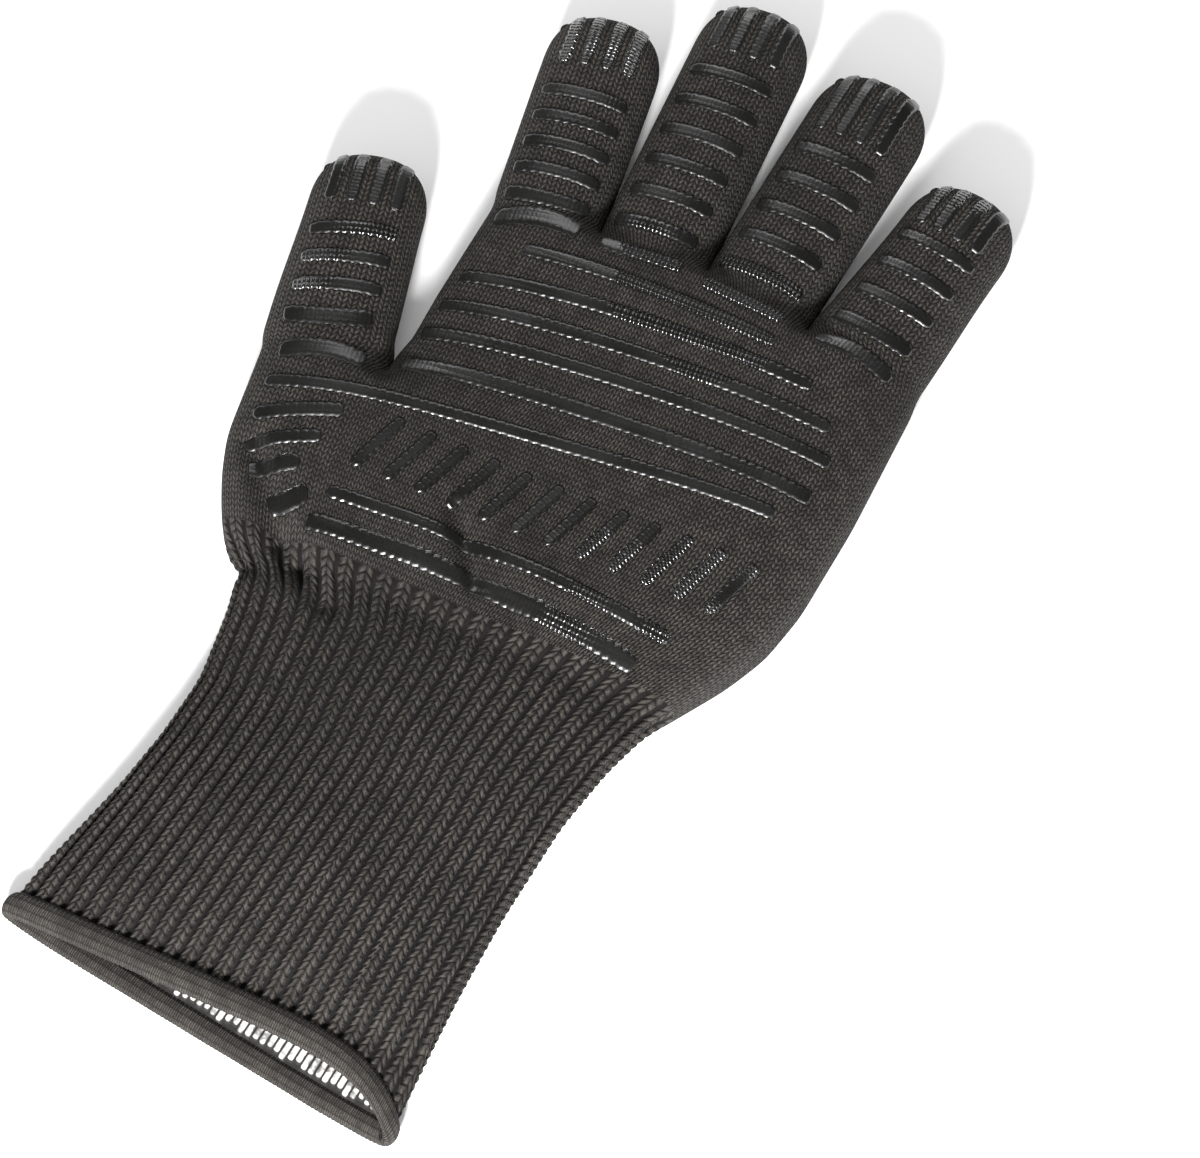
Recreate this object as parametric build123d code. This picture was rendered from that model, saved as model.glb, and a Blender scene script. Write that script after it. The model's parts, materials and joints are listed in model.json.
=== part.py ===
from build123d import *
import math
import os

# Heat resistant glove for the left hand, lying on its back with the palm up.
#
# A knitted outer glove with a cotton lining inside it, a rubbery grip print on the palm side, a long ribbed cuff,
# and a rolled binding round the cuff's mouth. The knit is one seamless tube on the real glove. Here it is divided
# at each fold, so that the fingers, the thumb and the cuff can turn. Each fold line lies on the palm side, because
# the grip print keeps that side at its length and the plain knit of the back is what stretches.
#
# Frame: +Z is up and out of the palm, +Y runs to the fingertips, and -X is the thumb's side. The origin is the
# middle of the hand's back, on the plane that the glove lies on.

# ---- walls -------------------------------------------------------------------------------------------------------
KNIT = 2.2  # outer knitted wall
LINING = 1.4  # cotton wall inside it
AIR = 0.1  # between the two walls
PRINT = 0.8  # height of the grip print above the knit
SLIT = 0.4  # gap at each fold
LINING_OUT = KNIT + AIR  # how far the lining's outer face lies inside the glove's own outline
HOLLOW = LINING_OUT + LINING  # how far the hollow for the hand lies inside it

# ---- heights and edge rounding -----------------------------------------------------------------------------------
FINGER_HEIGHT = 21.0
HAND_HEIGHT = 24.0
EDGE_SHARE = 0.46  # an edge's rounding as a share of the height, so the sides are nearly half round

# ---- fingers: all lengths along the finger, from the crotch at its root ----------------------------------------
# Each fold lies midway between two of the finger's stripes, so that no stripe is crossed by it.
# name: (root x, root y, lean in degrees towards +X, width at root, width at tip, knuckle fold, middle fold, length)
FINGERS = {
    "thumb": (-82.9, 1.6, -12.5, 34.0, 32.5, 16.7, 36.1, 59.5),
    "index": (-47.3, 66.0, -9.0, 30.8, 32.5, 10.3, 28.2, 63.5),
    "middle": (-15.9, 68.0, -3.0, 31.0, 31.8, 15.3, 36.9, 82.0),
    "ring": (16.2, 67.0, 3.0, 31.5, 33.0, 14.6, 36.2, 75.0),
    "little": (50.6, 61.0, 7.5, 35.0, 31.5, 6.5, 27.7, 58.0),
}
ROOT_REACH = 16.0  # how far a finger runs back into the hand
TIP_SHARE = 0.46  # a fingertip's rounding as a share of its width

# ---- hand: outline corners with each corner's radius, clockwise from the index finger's side --------------------
HAND_CORNERS = [
    ((-63.2, 66.5), 6.0),
    ((68.6, 61.5), 6.0),
    ((70.5, 20.0), 60.0),
    ((66.0, -42.0), 34.0),
    ((40.5, -72.0), 26.0),
    ((40.5, -104.0), 2.0),
    ((-67.5, -104.0), 2.0),
    ((-67.5, -71.0), 24.0),
    ((-95.0, -47.0), 26.0),
    ((-100.5, 3.5), 6.0),
    ((-64.5, 3.5), 3.0),
]
WRIST_FOLD = -80.0  # Y of the fold between the hand and the cuff

# ---- cuff: its own axis starts at the middle of the wrist and leans towards the thumb's side ---------------------
CUFF_ROOT = (-13.5, WRIST_FOLD)
CUFF_LEAN = -4.6
CUFF_SECTIONS = [(-30.0, 54.5), (0.0, 54.0), (45.0, 52.0), (90.0, 55.0), (130.0, 59.0)]  # distance, half width
CUFF_LENGTH = 109.0
BINDING = 7.0  # length of the rolled binding past the knit
BINDING_PROUD = 1.0
BAND = (98.5, 108.5)  # grip band inside the mouth, measured from the wrist
BAND_THICKNESS = 0.6

# ---- grip print ----------------------------------------------------------------------------------------------
STRIPE = 4.0
STRIPE_SHARE = 0.74  # a finger stripe's length as a share of the finger's width
STRIPE_CORNER = 0.9
# name: (fingertip to the first stripe's middle, stripe pitch, stripes, length of the tip's bars, turn in degrees)
FINGER_PRINTS = {
    "thumb": (28.7, 9.4, 4, 17.0, 8.5),
    "index": (30.9, 8.9, 6, 18.0, 0.0),
    "middle": (29.0, 10.8, 7, 18.0, 0.0),
    "ring": (33.4, 10.8, 6, 23.0, 0.0),
    "little": (25.0, 10.6, 5, 17.0, 0.0),
}
TIP_BARS = 4
TIP_BAR_WIDTH = 3.4
TIP_BAR_START = 3.0  # distance from the fingertip to its bars
ARCH = 0.025  # rise of a long stripe's middle towards the fingers, as a share of its length
PALM_STRIPES = [  # centre of each stripe's two ends, thumb's side first
    ((-44.5, 44.3), (28.5, 45.3)),
    ((-57.0, 31.0), (43.5, 37.5)),
    ((-58.0, 20.5), (53.0, 28.0)),
    ((-58.5, 10.3), (57.5, 18.3)),
    ((-59.0, -1.5), (57.5, 6.0)),
    ((-89.3, -21.3), (51.0, -2.8)),
    ((-90.0, -11.3), (-67.8, -4.5)),
    ((-87.3, -32.3), (-65.0, -23.3)),
    ((-85.5, -41.0), (-67.0, -33.0)),
    ((-81.0, -48.3), (-68.7, -42.0)),
    ((-71.5, -55.3), (-62.5, -49.8)),
    ((-58.0, -46.7), (42.0, -48.7)),
    ((-59.0, -56.7), (37.0, -58.2)),
]
BAR_ROW = (-37.5, -18.5)  # Y span of the row of slanted bars that crosses the palm
BAR_ENDS = (-52.5, 50.5)
BAR_COUNT = 12
BAR_LEAN = 18.0
BAR_WIDTH = 3.6

# ---- yarn tail at each fingertip -------------------------------------------------------------------------------
YARN = 0.45  # radius of the yarn
LOOP = 1.9  # radius of the loop

FAR = 400.0  # longer than the glove, for cutting tools


def pillow(outline, height, inset):
    """A flat closed form from its outline, its top and bottom edges rounded, and all of it inset."""
    solid = Pos(0, 0, inset) * extrude(outline, height - 2 * inset)
    faces = solid.faces().sort_by(Axis.Z)
    edges = faces[0].edges() + faces[-1].edges()
    return fillet(edges, height * EDGE_SHARE - inset)


def rounded_outline(corners):
    """A polygon with a radius at each corner, as one face."""
    lines = FilletPolyline([c for c, _ in corners], radius=[r for _, r in corners], close=True)
    return make_face(lines)


def finger_place(name):
    x, y, lean = FINGERS[name][:3]
    return Pos(x, y) * Rot(0, 0, -lean)


def fold_place(name, distance):
    """The frame of a fold: its X is the fold line, at the palm side's surface."""
    x, y, lean = FINGERS[name][:3]
    turn = -lean if name == "thumb" else 0.0
    run = distance if name == "thumb" else distance / math.cos(math.radians(lean))
    along = Pos(x, y) * Rot(0, 0, -lean) * Pos(0, run)
    point = along.position
    return Pos(point.X, point.Y, FINGER_HEIGHT) * Rot(0, 0, turn)


def finger_form(name, inset):
    """A whole finger, from inside the hand to its rounded tip."""
    root_width, tip_width = FINGERS[name][3:5]
    length = FINGERS[name][7]
    half_root, half_tip = root_width / 2 - inset, tip_width / 2 - inset
    tip_radius = tip_width * TIP_SHARE - inset
    outline = rounded_outline(
        [
            ((-half_root, -ROOT_REACH), 0.5),
            ((-half_tip, length - inset), tip_radius),
            ((half_tip, length - inset), tip_radius),
            ((half_root, -ROOT_REACH), 0.5),
        ]
    )
    return finger_place(name) * pillow(outline, FINGER_HEIGHT, inset)


def beyond(place):
    """Everything past a fold, on the side away from the wrist."""
    return place * Pos(0, FAR / 2 + SLIT / 2) * Box(FAR, FAR, FAR)


def short_of(place):
    """Everything on the wrist's side of a fold."""
    return place * Pos(0, -FAR / 2 - SLIT / 2) * Box(FAR, FAR, FAR)


def hand_form(inset):
    """The hand with the roots of its fingers, up to each knuckle fold, and cut off at the wrist."""
    outline = rounded_outline(HAND_CORNERS)
    if inset:
        outline = offset(outline, -inset, kind=Kind.INTERSECTION)
    form = pillow(outline, HAND_HEIGHT, inset)
    for name in FINGERS:
        root = finger_form(name, inset) & short_of(fold_place(name, FINGERS[name][5]))
        form = form + root
    return form & wrist_side(1)


def wrist_side(side):
    """Everything on the fingers' side of the wrist fold for 1, on the cuff's side for -1."""
    return Pos(0, WRIST_FOLD + side * (FAR / 2 + SLIT / 2)) * Box(FAR, FAR, FAR)


def finger_segments(name, outer, inner):
    """The two tubes of a finger: knuckle fold to middle fold, and middle fold to tip."""
    tube = finger_form(name, outer) - finger_form(name, inner)
    knuckle, middle = (fold_place(name, d) for d in FINGERS[name][5:7])
    return tube & beyond(knuckle) & short_of(middle), tube & beyond(middle)


def cuff_form(inset, start, end):
    """The cuff between two distances from the wrist, measured down its own axis."""
    height = HAND_HEIGHT - 2 * inset
    radius = HAND_HEIGHT * EDGE_SHARE - inset
    sections = []
    for distance, half_width in CUFF_SECTIONS:
        outline = RectangleRounded(2 * (half_width - inset), height, radius)
        sections.append(Pos(0, -distance, HAND_HEIGHT / 2) * Rot(90, 0, 0) * outline)
    kept = Pos(0, -(start + end) / 2) * Box(FAR, end - start, FAR)
    return Pos(*CUFF_ROOT) * Rot(0, 0, CUFF_LEAN) * (loft(sections) & kept)


def cuff_tube(outer, inner, start, end):
    return cuff_form(outer, start, end) - cuff_form(inner, start - 1, end + 1)


def stripe_tool(width, length):
    """An upright prism with the outline of one straight printed stripe."""
    return Pos(0, 0, HAND_HEIGHT / 2) * extrude(RectangleRounded(width, length, STRIPE_CORNER), HAND_HEIGHT)


def arched_tool(start, end):
    """An upright prism with the outline of one long stripe, arched towards the fingers."""
    run = Vector(*end) - Vector(*start)
    middle = (Vector(*start) + Vector(*end)) / 2 + Vector(-run.Y, run.X) * ARCH
    band = trace(ThreePointArc(start, middle, end), STRIPE)
    return Pos(0, 0, HAND_HEIGHT / 2) * extrude(band, HAND_HEIGHT)


def finger_prints(name, hand_skin):
    """The print on one finger as three lists: on the hand, between the folds, and on the tip."""
    tip_width = FINGERS[name][4]
    knuckle_at, middle_at, length = FINGERS[name][5:8]
    first, pitch, count, bar_length, turn = FINGER_PRINTS[name]
    skin = finger_form(name, -PRINT) - finger_form(name, 0)
    place = finger_place(name)
    groups = ([], [], [])
    for n in range(count):
        y = length - first - n * pitch
        group = 0 if y < knuckle_at else 1 if y < middle_at else 2
        tool = place * Pos(0, y) * Rot(0, 0, turn) * stripe_tool(tip_width * STRIPE_SHARE, STRIPE)
        groups[group].append((skin if group else hand_skin) & tool)
    bar_pitch = tip_width * STRIPE_SHARE / TIP_BARS
    bar_y = length - TIP_BAR_START - bar_length / 2
    for n in range(TIP_BARS):
        x = (n - (TIP_BARS - 1) / 2) * bar_pitch
        tool = place * Pos(x, bar_y) * stripe_tool(TIP_BAR_WIDTH, bar_length)
        groups[2].append(skin & tool)
    return groups


def palm_prints(skin):
    """The stripes across the palm and the thumb's root, and the row of slanted bars among them."""
    stripes = [skin & arched_tool(start, end) for start, end in PALM_STRIPES]
    bars = []
    pitch = (BAR_ENDS[1] - BAR_ENDS[0]) / (BAR_COUNT - 1)
    for n in range(BAR_COUNT):
        place = Pos(BAR_ENDS[0] + n * pitch, sum(BAR_ROW) / 2) * Rot(0, 0, -BAR_LEAN)
        bars.append(skin & (place * stripe_tool(BAR_WIDTH, BAR_ROW[1] - BAR_ROW[0])))
    return stripes, bars


def yarn_tail(name):
    """The loop of yarn left where the fingertip is closed, on the thumb's side of the tip."""
    tip_width, length = FINGERS[name][4], FINGERS[name][7]
    ring = Torus(LOOP, YARN)
    outer_half = Pos(-FAR / 2) * Box(FAR, FAR, FAR)
    spot = Pos(-tip_width * 0.41, length - tip_width * 0.16, FINGER_HEIGHT / 2)
    return finger_place(name) * spot * Rot(0, 0, -50) * (ring & outer_half)


def write(name, *solids):
    export_step(Compound(children=[s for group in solids for s in group.solids()]), f"parts/{name}.step")


os.makedirs("parts", exist_ok=True)

# ---- hand --------------------------------------------------------------------------------------------------------
hand_outside = hand_form(0)
write("hand_shell", hand_outside - hand_form(KNIT))
write("hand_lining", hand_form(LINING_OUT) - hand_form(HOLLOW))
hand_skin = hand_form(-PRINT) - hand_outside
palm_stripes, slanted_bars = palm_prints(hand_skin)

# ---- fingers and thumb -------------------------------------------------------------------------------------------
for finger in FINGERS:
    base_shell, tip_shell = finger_segments(finger, 0, KNIT)
    base_lining, tip_lining = finger_segments(finger, LINING_OUT, HOLLOW)
    root_prints, base_prints, tip_prints = finger_prints(finger, hand_skin)
    palm_stripes += root_prints
    write(f"{finger}_base_shell", base_shell)
    write(f"{finger}_base_lining", base_lining)
    write(f"{finger}_base_stripes", *base_prints)
    write(f"{finger}_tip_shell", tip_shell)
    write(f"{finger}_tip_lining", tip_lining)
    write(f"{finger}_tip_stripes", *tip_prints)
    write(f"{finger}_yarn_tail", yarn_tail(finger) - finger_form(finger, 0))
write("palm_stripes", *palm_stripes)
write("palm_bars", *slanted_bars)

# ---- cuff ----------------------------------------------------------------------------------------------------------
before_wrist = -25.0
above_the_table = Pos(0, 0, FAR / 2) * Box(FAR, FAR, FAR)
write("cuff_shell", cuff_tube(0, KNIT, before_wrist, CUFF_LENGTH) & wrist_side(-1))
write("cuff_lining", cuff_tube(LINING_OUT, HOLLOW, before_wrist, CUFF_LENGTH) & wrist_side(-1))
binding = cuff_tube(-BINDING_PROUD, HOLLOW, CUFF_LENGTH, CUFF_LENGTH + BINDING)
write("cuff_binding", binding & above_the_table)
write("cuff_grip_band", cuff_tube(HOLLOW, HOLLOW + BAND_THICKNESS, *BAND))
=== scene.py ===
import json
import math

import bpy
import numpy as np
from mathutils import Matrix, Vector
from mathutils.bvhtree import BVHTree


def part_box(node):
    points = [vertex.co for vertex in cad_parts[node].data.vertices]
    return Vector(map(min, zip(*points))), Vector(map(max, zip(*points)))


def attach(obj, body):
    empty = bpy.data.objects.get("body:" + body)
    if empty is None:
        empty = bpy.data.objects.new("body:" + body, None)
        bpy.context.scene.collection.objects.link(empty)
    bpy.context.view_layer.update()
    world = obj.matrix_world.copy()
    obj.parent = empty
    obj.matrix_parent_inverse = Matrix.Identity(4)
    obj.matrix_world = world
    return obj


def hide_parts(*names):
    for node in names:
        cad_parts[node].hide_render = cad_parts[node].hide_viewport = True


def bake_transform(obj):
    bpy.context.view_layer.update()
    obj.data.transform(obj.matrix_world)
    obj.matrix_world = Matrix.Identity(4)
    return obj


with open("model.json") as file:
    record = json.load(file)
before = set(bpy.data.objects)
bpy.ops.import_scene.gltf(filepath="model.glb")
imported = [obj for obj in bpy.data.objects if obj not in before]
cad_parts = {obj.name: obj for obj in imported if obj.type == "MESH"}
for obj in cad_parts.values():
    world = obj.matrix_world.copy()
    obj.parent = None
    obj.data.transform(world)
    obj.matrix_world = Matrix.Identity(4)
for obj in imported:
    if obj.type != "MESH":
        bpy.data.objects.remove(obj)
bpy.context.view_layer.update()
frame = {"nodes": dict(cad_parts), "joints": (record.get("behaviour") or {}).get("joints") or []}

# ---- The outer knit, whole -------------------------------------------------------------------------------
# One seamless tube of thick aramid yarn, knitted from the cuff up to five closed fingertips. It is drawn here
# in millimetres, as five bands side by side that run from the cuff's mouth to one fingertip each. Above the
# crotches a band closes on itself and is a finger.
MM = 0.001
BANDS = ["thumb", "index", "middle", "ring", "little"]
COLUMNS = 48  # mesh columns over one side of a band
SHARES = np.linspace(0, 1, COLUMNS + 1)
THUMB_CROTCH = 3.0
ROW = 0.95  # spacing of the mesh rows along the hand
CUFF_ROW = 0.72
CUFF_END = -190.0
RIB_START = -62.5
RIBS = 25  # ribs over one side of the cuff
WALES = 17  # stitch columns over one side of a finger
COURSE = 1.05  # stitch row spacing


def eased(points, width=7.0):
    """A smooth function through a list of (place, value), each corner rounded over the width."""
    at, value = (np.array(v, float) for v in zip(*sorted(points)))
    dense = np.arange(at[0] - 3 * width, at[-1] + 3 * width, 0.5)
    window = np.hanning(int(4 * width))
    level = np.interp(dense, at, value)
    padded = np.pad(level, len(window) // 2, mode="edge")
    level = np.convolve(padded, window / window.sum(), mode="same")[len(window) // 2 :][: len(dense)]
    return lambda place: np.interp(place, dense, level)


def smooth(t):
    t = np.clip(t, 0, 1)
    return t * t * (3 - 2 * t)


def arch(half_width, height, power, share):
    """Half of a rounded flat section: how far across and how high, at shares of its length from the left."""
    turn = np.linspace(0, math.pi, 400)
    across = -half_width * np.sign(np.cos(turn)) * np.abs(np.cos(turn)) ** (2 / power)
    up = height * np.sin(turn).clip(0) ** (2 / power)
    run = np.concatenate([[0], np.cumsum(np.hypot(np.diff(across), np.diff(up)))])
    return np.interp(share * run[-1], run, across), np.interp(share * run[-1], run, up)


# The left and the right edge of the hand and the cuff, and the turn of their rows.
left_edge = eased([
    (70, -102), (12, -101), (0, -98.5), (-20, -95.5), (-38, -93), (-49, -89), (-60, -83.5), (-67, -79),
    (-74, -71.8), (-84, -69), (-106, -66), (-125, -67.3), (-141, -70), (-155, -73.5), (-168, -77),
    (-181, -80.5), (-204, -83),
])
right_edge = eased([
    (70, 68), (10, 68.7), (-20, 67.5), (-36, 64.5), (-48.5, 59), (-60, 52), (-70, 45.8), (-84, 41.5),
    (-104, 37.8), (-135, 35.8), (-160, 35.5), (-180, 36.2), (-204, 37),
])
row_turn = eased([(70, 0), (-60, 0), (-80, -2), (-105, -4.5), (-140, -6.5), (-200, -8.5)], 12)
palm_left = eased([(70, -60.9), (45, -61.3), (25, -62), (-10, -61.5)])
palm_right = eased([(70, 68), (40, 68.3), (10, 68.7), (-20, 67.5), (-36, 64.5)])
top_height = eased([(72, 21.0), (50, 22.6), (0, 23.4), (-45, 22.6), (-66, 20.2), (-90, 19.4), (-145, 18.6),
                    (-172, 15.5), (-195, 11)], 10)
top_power = eased([(70, 3.4), (-40, 3.2), (-80, 2.9), (-145, 2.7), (-176, 2.3), (-195, 1.9)], 10)
seat_power = eased([(70, 4.5), (-150, 4.5), (-195, 3.2)], 10)
EDGE_SHARE = 0.44  # the height of the side's turning line as a share of the whole height
FIVE = np.array([0, 0.2235, 0.401, 0.585, 0.774, 1.0])  # where the bands meet, over five bands
FOUR = np.array([0, 0.267, 0.4912, 0.7228, 1.0])  # the same above the thumb


def hand_section(y, left, right, share, side, rows_y=None):
    """Points of one row of the hand, on the palm side for 1 and on the back for -1."""
    turn = math.radians(float(row_turn(y)))
    middle, half = (left + right) / 2, (right - left) / 2 / math.cos(turn)
    high = float(top_height(y))
    edge = high * EDGE_SHARE
    if side > 0:
        across, up = arch(half, high - edge, float(top_power(y)), share)
    else:
        across, up = arch(half, -edge, float(seat_power(y)), share)
        up = -np.abs(up)
    along = y if rows_y is None else rows_y
    return np.stack([middle + across * math.cos(turn), along + across * math.sin(turn), edge + up], -1)


# Each finger's knuckle, direction, length from the knuckle and distance between its two folds.
fold_points = {j["name"]: np.array(j["pos_m"][:2]) / MM for j in frame["joints"]}
finger_lines = {}
for name in BANDS:
    knuckle, fold = fold_points[f"{name}_knuckle"], fold_points[f"{name}_middle"]
    ahead = (fold - knuckle) / np.linalg.norm(fold - knuckle)
    tip_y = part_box(f"{name}_tip_shell")[1].y / MM
    finger_lines[name] = (knuckle, ahead, (tip_y - knuckle[1]) / ahead[1], np.linalg.norm(fold - knuckle))

# Each finger's half width at its root and at its tip, and the Y of the crotch on its left and on its right.
FINGER_SHAPES = {
    "thumb": (17.4, 16.2, -2.0, THUMB_CROTCH),
    "index": (15.7, 16.2, 66.0, 66.5),
    "middle": (15.9, 15.9, 66.5, 68.0),
    "ring": (16.1, 16.4, 68.0, 62.0),
    "little": (17.6, 15.7, 62.0, 59.0),
}
FINGER_HIGH = 20.6
FINGER_EDGE = 0.46  # the height of a finger's turning line as a share of its whole height
SECTION_HIGH = 0.68  # height of half a finger's section, with its half width as 1
TIP_ROUND = 16.0  # how far the fingertip's rounding runs back in plan
TIP_DROP = 10.5  # and in height
TIP_POWER = 2.25


def tube(name, along, side):
    """Points of a finger's tube at a distance past its knuckle for each column. It may lie in the hand."""
    knuckle, ahead, length, _ = finger_lines[name]
    root, tip = FINGER_SHAPES[name][:2]
    shape_x, shape_z = arch(1.0, SECTION_HIGH, 2.35 if side > 0 else 2.7, SHARES)
    half = root + (tip - root) * smooth((along + 12) / (length + 12 - TIP_ROUND))
    near = np.clip((along - (length - TIP_ROUND)) / TIP_ROUND, 0, 1)
    half = half * (1 - near**TIP_POWER) ** (1 / TIP_POWER)
    drop = np.clip((along - (length - TIP_DROP)) / TIP_DROP, 0, 1)
    swell = (1 - drop**2) ** 0.5 * (1 - 0.06 * smooth(along / length))
    edge = FINGER_HIGH * FINGER_EDGE
    height = (FINGER_HIGH - edge if side > 0 else -edge) * swell
    across = shape_x * half
    right = np.array([ahead[1], -ahead[0]])
    plan = knuckle + along[:, None] * ahead + across[:, None] * right
    return np.column_stack([plan, edge + shape_z / SECTION_HIGH * height])


def crotch_line(name):
    """For each column, the Y of the crotch row, and the distance past the knuckle that it lies at."""
    left, right = FINGER_SHAPES[name][2:]
    y = left + (right - left) * smooth(SHARES)
    knuckle, ahead = finger_lines[name][:2]
    root = FINGER_SHAPES[name][0]
    sideways = -(1 - 2 * SHARES) * root * -ahead[0]
    return y, (y - sideways - knuckle[1]) / ahead[1]


cuff_rows = np.arange(CUFF_END, RIB_START, CUFF_ROW)
cuff_rows = np.append(cuff_rows[:-1], RIB_START)
hand_rows = np.linspace(RIB_START, THUMB_CROTCH, int((THUMB_CROTCH - RIB_START) / ROW) + 1)[1:]
low_rows = np.concatenate([cuff_rows, hand_rows])
HIGH_COUNT = int((66 - THUMB_CROTCH) / ROW)
CROTCH_REACH = 11.0  # how far a crotch's valley runs into the hand
THUMB_REACH = 15.0
LIP = 15.0  # how far the upper side of the mouth is drawn back, most of it towards its right end
LIP_RUN = 34.0  # and the length of cuff that is drawn back with it


def band(number, side):
    """All rows of one band on one side, from the mouth to the fingertip, and how many are in the hand."""
    name = BANDS[number]
    crotch_y, crotch_along = crotch_line(name)
    _, ahead, length, _ = finger_lines[name]
    share5 = FIVE[number] + (FIVE[number + 1] - FIVE[number]) * SHARES
    if number:
        share4 = FOUR[number - 1] + (FOUR[number] - FOUR[number - 1]) * SHARES
    rows = []
    for y in low_rows:
        rise = -math.sin(math.radians(float(row_turn(y)))) * 58
        merged = hand_section(y, float(left_edge(y + rise)), float(right_edge(y - rise)), share5, side)
        near = (THUMB_CROTCH - y) / THUMB_REACH
        if near < 1:
            if number:
                apart = hand_section(y, float(palm_left(y)), float(palm_right(y)), share4, side)
            else:
                apart = tube(name, crotch_along + (y - THUMB_CROTCH) / ahead[1], side)
            merged = apart + (merged - apart) * smooth(near)
        if side > 0:
            merged[:, 1] += LIP * share5**1.4 * (1 - share5**8) * smooth((CUFF_END + LIP_RUN - y) / LIP_RUN)
        rows.append(merged)
    if number:
        for step in range(1, HIGH_COUNT + 1):
            rows_y = THUMB_CROTCH + (crotch_y - THUMB_CROTCH) * step / HIGH_COUNT
            y = float(rows_y.mean())
            merged = hand_section(y, float(palm_left(y)), float(palm_right(y)), share4, side, rows_y)
            apart = tube(name, crotch_along - (crotch_y - rows_y) / ahead[1], side)
            near = smooth((crotch_y - rows_y) / CROTCH_REACH)[:, None]
            rows.append(apart + (merged - apart) * near)
    in_hand = len(rows)
    straight = length - TIP_ROUND
    steps = int((straight - crotch_along.mean()) / ROW)
    whole = length - crotch_along.mean()
    shares = np.arange(1, steps + 1) / steps * (straight - crotch_along.mean()) / whole
    rounding = np.sin(np.radians(np.linspace(0, 86, 20)[1:])) * TIP_ROUND
    last = (straight + rounding - crotch_along.mean()) / whole
    for share in np.concatenate([shares, last / last[-1]]):
        rows.append(tube(name, crotch_along + (length * 0.9995 - crotch_along) * share, side))
    rows = np.array(rows)
    rows[-1, :, 2] = FINGER_HIGH * FINGER_EDGE
    return rows, in_hand


bands = {(n, side): band(n, side) for n in range(5) for side in (1, -1)}
SEAM_SHARE = 0.3
for side in (1, -1):  # neighbours are drawn together where they meet
    for n in range(4):
        (left, left_hand), (right, right_hand) = bands[n, side], bands[n + 1, side]
        count = min(left_hand, right_hand)
        gap = (right[:count, 0] - left[:count, -1]) / 2
        fade = 1 - smooth(np.arange(1, 9) / 9)
        gap = np.concatenate([gap, gap[-1] * fade[:, None]])
        pull = smooth((SHARES - 1 + SEAM_SHARE) / SEAM_SHARE)
        left[: len(gap)] += gap[:, None] * pull[None, :, None]
        right[: len(gap)] -= gap[:, None] * pull[::-1][None, :, None]
for n in range(5):  # both sides end in the same short line, which closes the fingertip
    closed = (bands[n, 1][0][-1] + bands[n, -1][0][-1]) / 2
    bands[n, 1][0][-1] = bands[n, -1][0][-1] = closed

# The whole skin as one mesh, with each face's band, side and row kept, so that it can be cut up afterwards.
points, faces, keys, stitches, ribs, grids = [], [], [], [], [], {}
start = 0
for (n, side), (rows, in_hand) in bands.items():
    count = len(rows)
    middle = rows[:, COLUMNS // 2]
    run = np.concatenate([[0], np.cumsum(np.linalg.norm(np.diff(middle, axis=0), axis=1))])
    run = (run - run[len(low_rows) - 1]) / COURSE
    width = np.abs(rows[:, -1] - rows[:, 0]).max(1)
    narrow = np.where(np.arange(count) > in_hand, np.minimum(1, width / width[count - 32]), 1)
    wale = (SHARES[None] - 0.5) * WALES * narrow[:, None]
    rib = (FIVE[n] + (FIVE[n + 1] - FIVE[n]) * SHARES) * RIBS
    rib = rib if side > 0 else 2 * RIBS - rib
    index = start + np.arange(count * (COLUMNS + 1)).reshape(count, COLUMNS + 1)
    grids[n, side] = index
    quads = np.stack([index[:-1, :-1], index[:-1, 1:], index[1:, 1:], index[1:, :-1]], -1).reshape(-1, 4)
    if side < 0:
        quads = quads[:, ::-1]
    row, column = np.divmod(np.arange(len(quads)), COLUMNS)
    points.append(rows.reshape(-1, 3))
    faces.append(quads)
    keys.append(np.column_stack([np.full(len(quads), n), np.full(len(quads), side), row, column]))
    for layer, across in ((stitches, wale), (ribs, rib)):
        layer.append(np.stack(np.broadcast_arrays(across, run[:, None]), -1).reshape(-1, 2))
    start += count * (COLUMNS + 1)
points, faces, keys = np.concatenate(points), np.concatenate(faces), np.concatenate(keys)
stitches, ribs = np.concatenate(stitches), np.concatenate(ribs)
WELD = 0.002  # points nearer than this are one point
cells = np.round(points / WELD).astype(np.int64)
_, first, weld = np.unique(cells, axis=0, return_index=True, return_inverse=True)
skin = points[first]
skin_faces = weld.reshape(-1)[faces]


def normals_of(places, quads):
    """The smooth normal at each point of a quad mesh."""
    diagonal_a = places[quads[:, 2]] - places[quads[:, 0]]
    diagonal_b = places[quads[:, 3]] - places[quads[:, 1]]
    face_normals = np.cross(diagonal_a, diagonal_b)
    total = np.zeros_like(places)
    for corner in range(4):
        np.add.at(total, quads[:, corner], face_normals)
    return total / np.maximum(np.linalg.norm(total, axis=1), 1e-9)[:, None]


def relaxed(places, quads, rounds, share):
    """The points drawn towards the mean of their neighbours, by a share that may differ from point to point."""
    pairs = np.concatenate([quads[:, [0, 1]], quads[:, [1, 2]], quads[:, [2, 3]], quads[:, [3, 0]]])
    count = np.zeros(len(places))
    np.add.at(count, pairs[:, 0], 1)
    np.add.at(count, pairs[:, 1], 1)
    for _ in range(rounds):
        total = np.zeros_like(places)
        np.add.at(total, pairs[:, 0], places[pairs[:, 1]])
        np.add.at(total, pairs[:, 1], places[pairs[:, 0]])
        places = places + (total / count[:, None] - places) * share[:, None]
    return places


grids = {key: weld.reshape(-1)[grid] for key, grid in grids.items()}
ease = 0.5 * smooth((skin[:, 1] + 100) / 30)
skin = relaxed(skin, skin_faces, 6, ease)


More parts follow.
